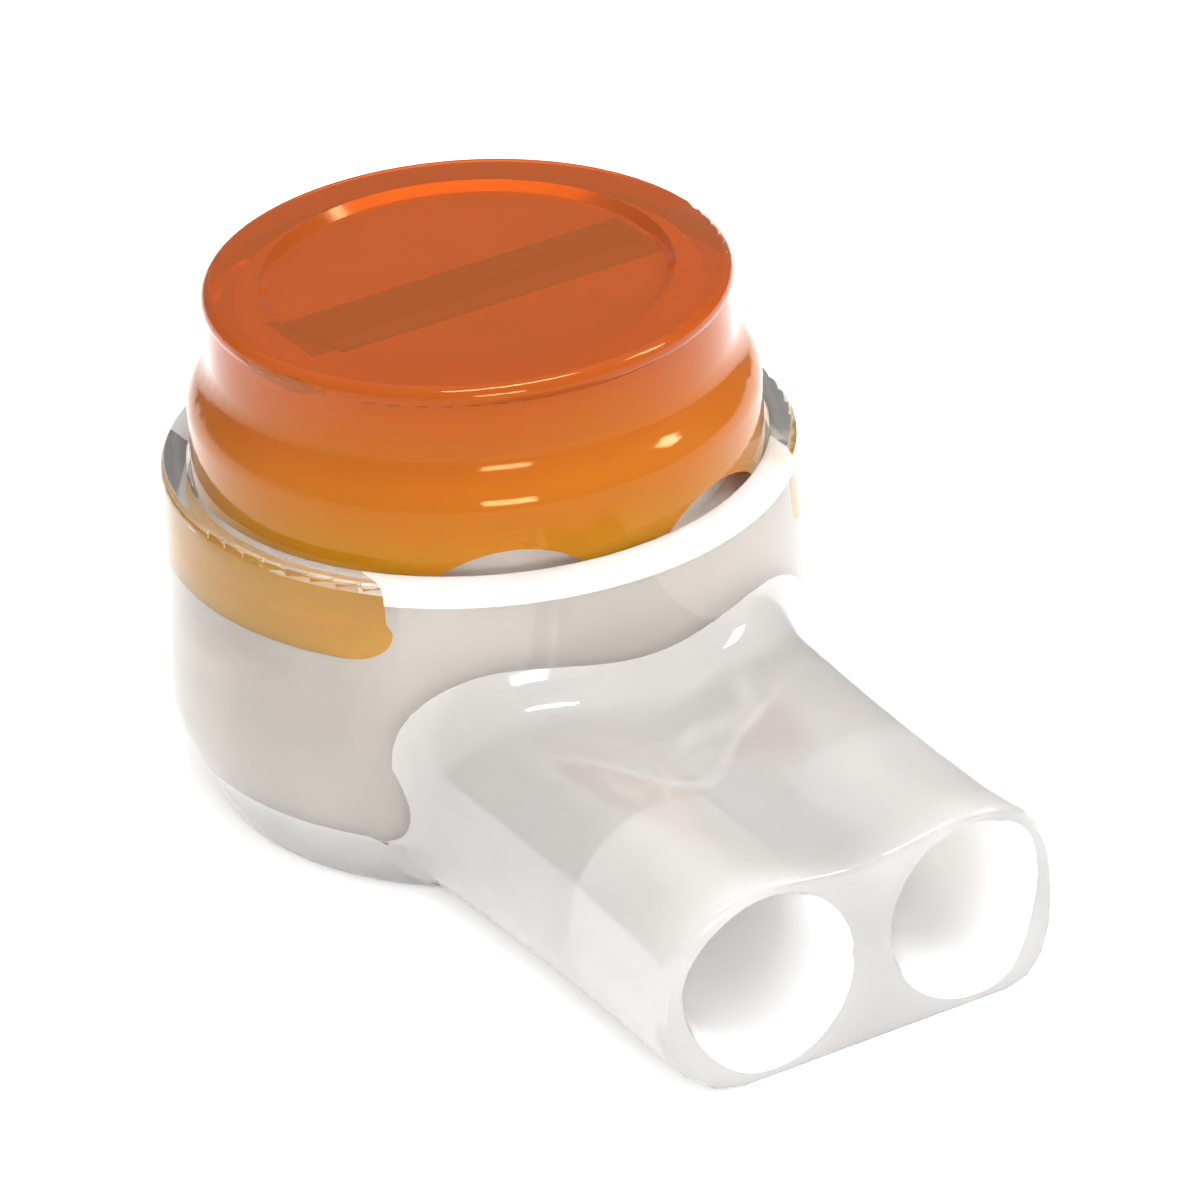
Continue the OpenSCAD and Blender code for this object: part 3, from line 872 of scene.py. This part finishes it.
class SPLICE_OT_stage(bpy.types.Operator):
    """Makes the camera, the floor and the lights"""
    bl_idname = "splice.stage"
    bl_label = "Stage"

    def execute(self, context):
        scene = context.scene
        settings = scene.splice_stage
        self.add_camera(scene, settings)
        self.add_floor(settings)
        for light_box in LIGHT_BOXES:
            add_light(*light_box)
        self.light_world(scene, settings)
        scene.view_settings.view_transform = "Standard"
        scene.cycles.max_bounces = LIGHT_BOUNCES
        scene.cycles.diffuse_bounces = SCATTER_BOUNCES
        scene.cycles.glossy_bounces = SCATTER_BOUNCES
        scene.cycles.transmission_bounces = LIGHT_BOUNCES
        return {"FINISHED"}

    def add_camera(self, scene, settings):
        """Camera at the photograph's viewing angle"""
        az, el = settings.azimuth, settings.elevation
        back = Vector((math.sin(az) * math.cos(el), -math.cos(az) * math.cos(el), math.sin(el)))
        data = bpy.data.cameras.new("camera")
        data.lens = settings.focal_length
        data.sensor_width = SENSOR_WIDTH
        data.shift_x, data.shift_y = settings.shift
        data.clip_start = 1 * MM
        camera = bpy.data.objects.new("camera", data)
        scene.collection.objects.link(camera)
        aim = (-back).to_track_quat("-Z", "Y").to_matrix()
        camera.matrix_world = (Matrix.Translation(Vector(settings.target) + back * settings.distance)
                               @ (aim @ Matrix.Rotation(settings.roll, 3, "Z")).to_4x4())
        scene.camera = camera

    def add_floor(self, settings):
        """Pale floor that shines faintly, so that it stays white around the shadow"""
        shape = bmesh.new()
        bmesh.ops.create_grid(shape, x_segments=1, y_segments=1, size=FLOOR_HALF_WIDTH)
        floor = linked(shape, "floor")
        floor.location.z = -FLOOR_GAP
        paint, _ = material("floor_paint", {
            "Base Color": settings.floor_color, "Roughness": 0.9, "Specular IOR Level": 0,
            "Emission Color": (1, 1, 1), "Emission Strength": 0.25})
        paint.cycles.emission_sampling = "NONE"
        floor.data.materials.append(paint)

    def light_world(self, scene, settings):
        """Sky that is bright overhead and on the camera's side, and dim low down behind"""
        world = bpy.data.worlds.new("studio")
        world.use_nodes = True
        tree = world.node_tree
        direction = tree.nodes.new("ShaderNodeTexCoord").outputs["Generated"]
        overhead = spread(tree, height_of(tree, direction), low=0.5, high=0.85)
        ahead = tree.nodes.new("ShaderNodeVectorMath")
        ahead.operation = "DOT_PRODUCT"
        ahead.inputs[1].default_value = (math.sin(settings.azimuth), -math.cos(settings.azimuth), 0)
        tree.links.new(direction, ahead.inputs[0])
        front = spread(tree, ahead.outputs["Value"], low=-0.6, high=0.1)
        sky = tree.nodes.new("ShaderNodeMix")
        sky.data_type = "RGBA"
        set_values(sky, {"A": DIM_SKY, "B": (1, 1, 1)})
        tree.links.new(calculated(tree, "MAXIMUM", overhead, front), sky.inputs["Factor"])
        tree.links.new(sky.outputs["Result"], tree.nodes["Background"].inputs["Color"])
        set_values(tree.nodes["Background"], {"Strength": SKY_STRENGTH})
        world.cycles.sampling_method = "NONE"
        scene.world = world


STEPS = (SPLICE_OT_body, SPLICE_OT_gel, SPLICE_OT_button, SPLICE_OT_contact, SPLICE_OT_stage)
SETTINGS = {
    "splice_body": SpliceBodySettings,
    "splice_button": SpliceButtonSettings,
    "splice_stage": SpliceStageSettings,
}


class SPLICE_PT_panel(bpy.types.Panel):
    """Lists the pieces in the order in which they are made, and what can be set on them"""
    bl_idname = "SPLICE_PT_panel"
    bl_label = "Wire splice connector"
    bl_space_type = "VIEW_3D"
    bl_region_type = "UI"
    bl_category = "Splice"

    def draw(self, context):
        for step in STEPS:
            self.layout.operator(step.bl_idname)
        for name, group in SETTINGS.items():
            column = self.layout.column()
            for label in group.__annotations__:
                column.prop(getattr(context.scene, name), label)


def register():
    """Registers the settings, the operators and the panel"""
    for name, group in SETTINGS.items():
        bpy.utils.register_class(group)
        setattr(bpy.types.Scene, name, PointerProperty(type=group))
    for step in STEPS:
        bpy.utils.register_class(step)
    bpy.utils.register_class(SPLICE_PT_panel)


def unregister():
    """Takes back what register does, the last first"""
    bpy.utils.unregister_class(SPLICE_PT_panel)
    for step in reversed(STEPS):
        bpy.utils.unregister_class(step)
    for name, group in reversed(SETTINGS.items()):
        delattr(bpy.types.Scene, name)
        bpy.utils.unregister_class(group)


def main():
    """Makes every piece and the stage"""
    register()
    bpy.ops.splice.body()
    bpy.ops.splice.gel()
    bpy.ops.splice.button()
    bpy.ops.splice.contact()
    bpy.ops.splice.stage()


if __name__ == "__main__":
    main()
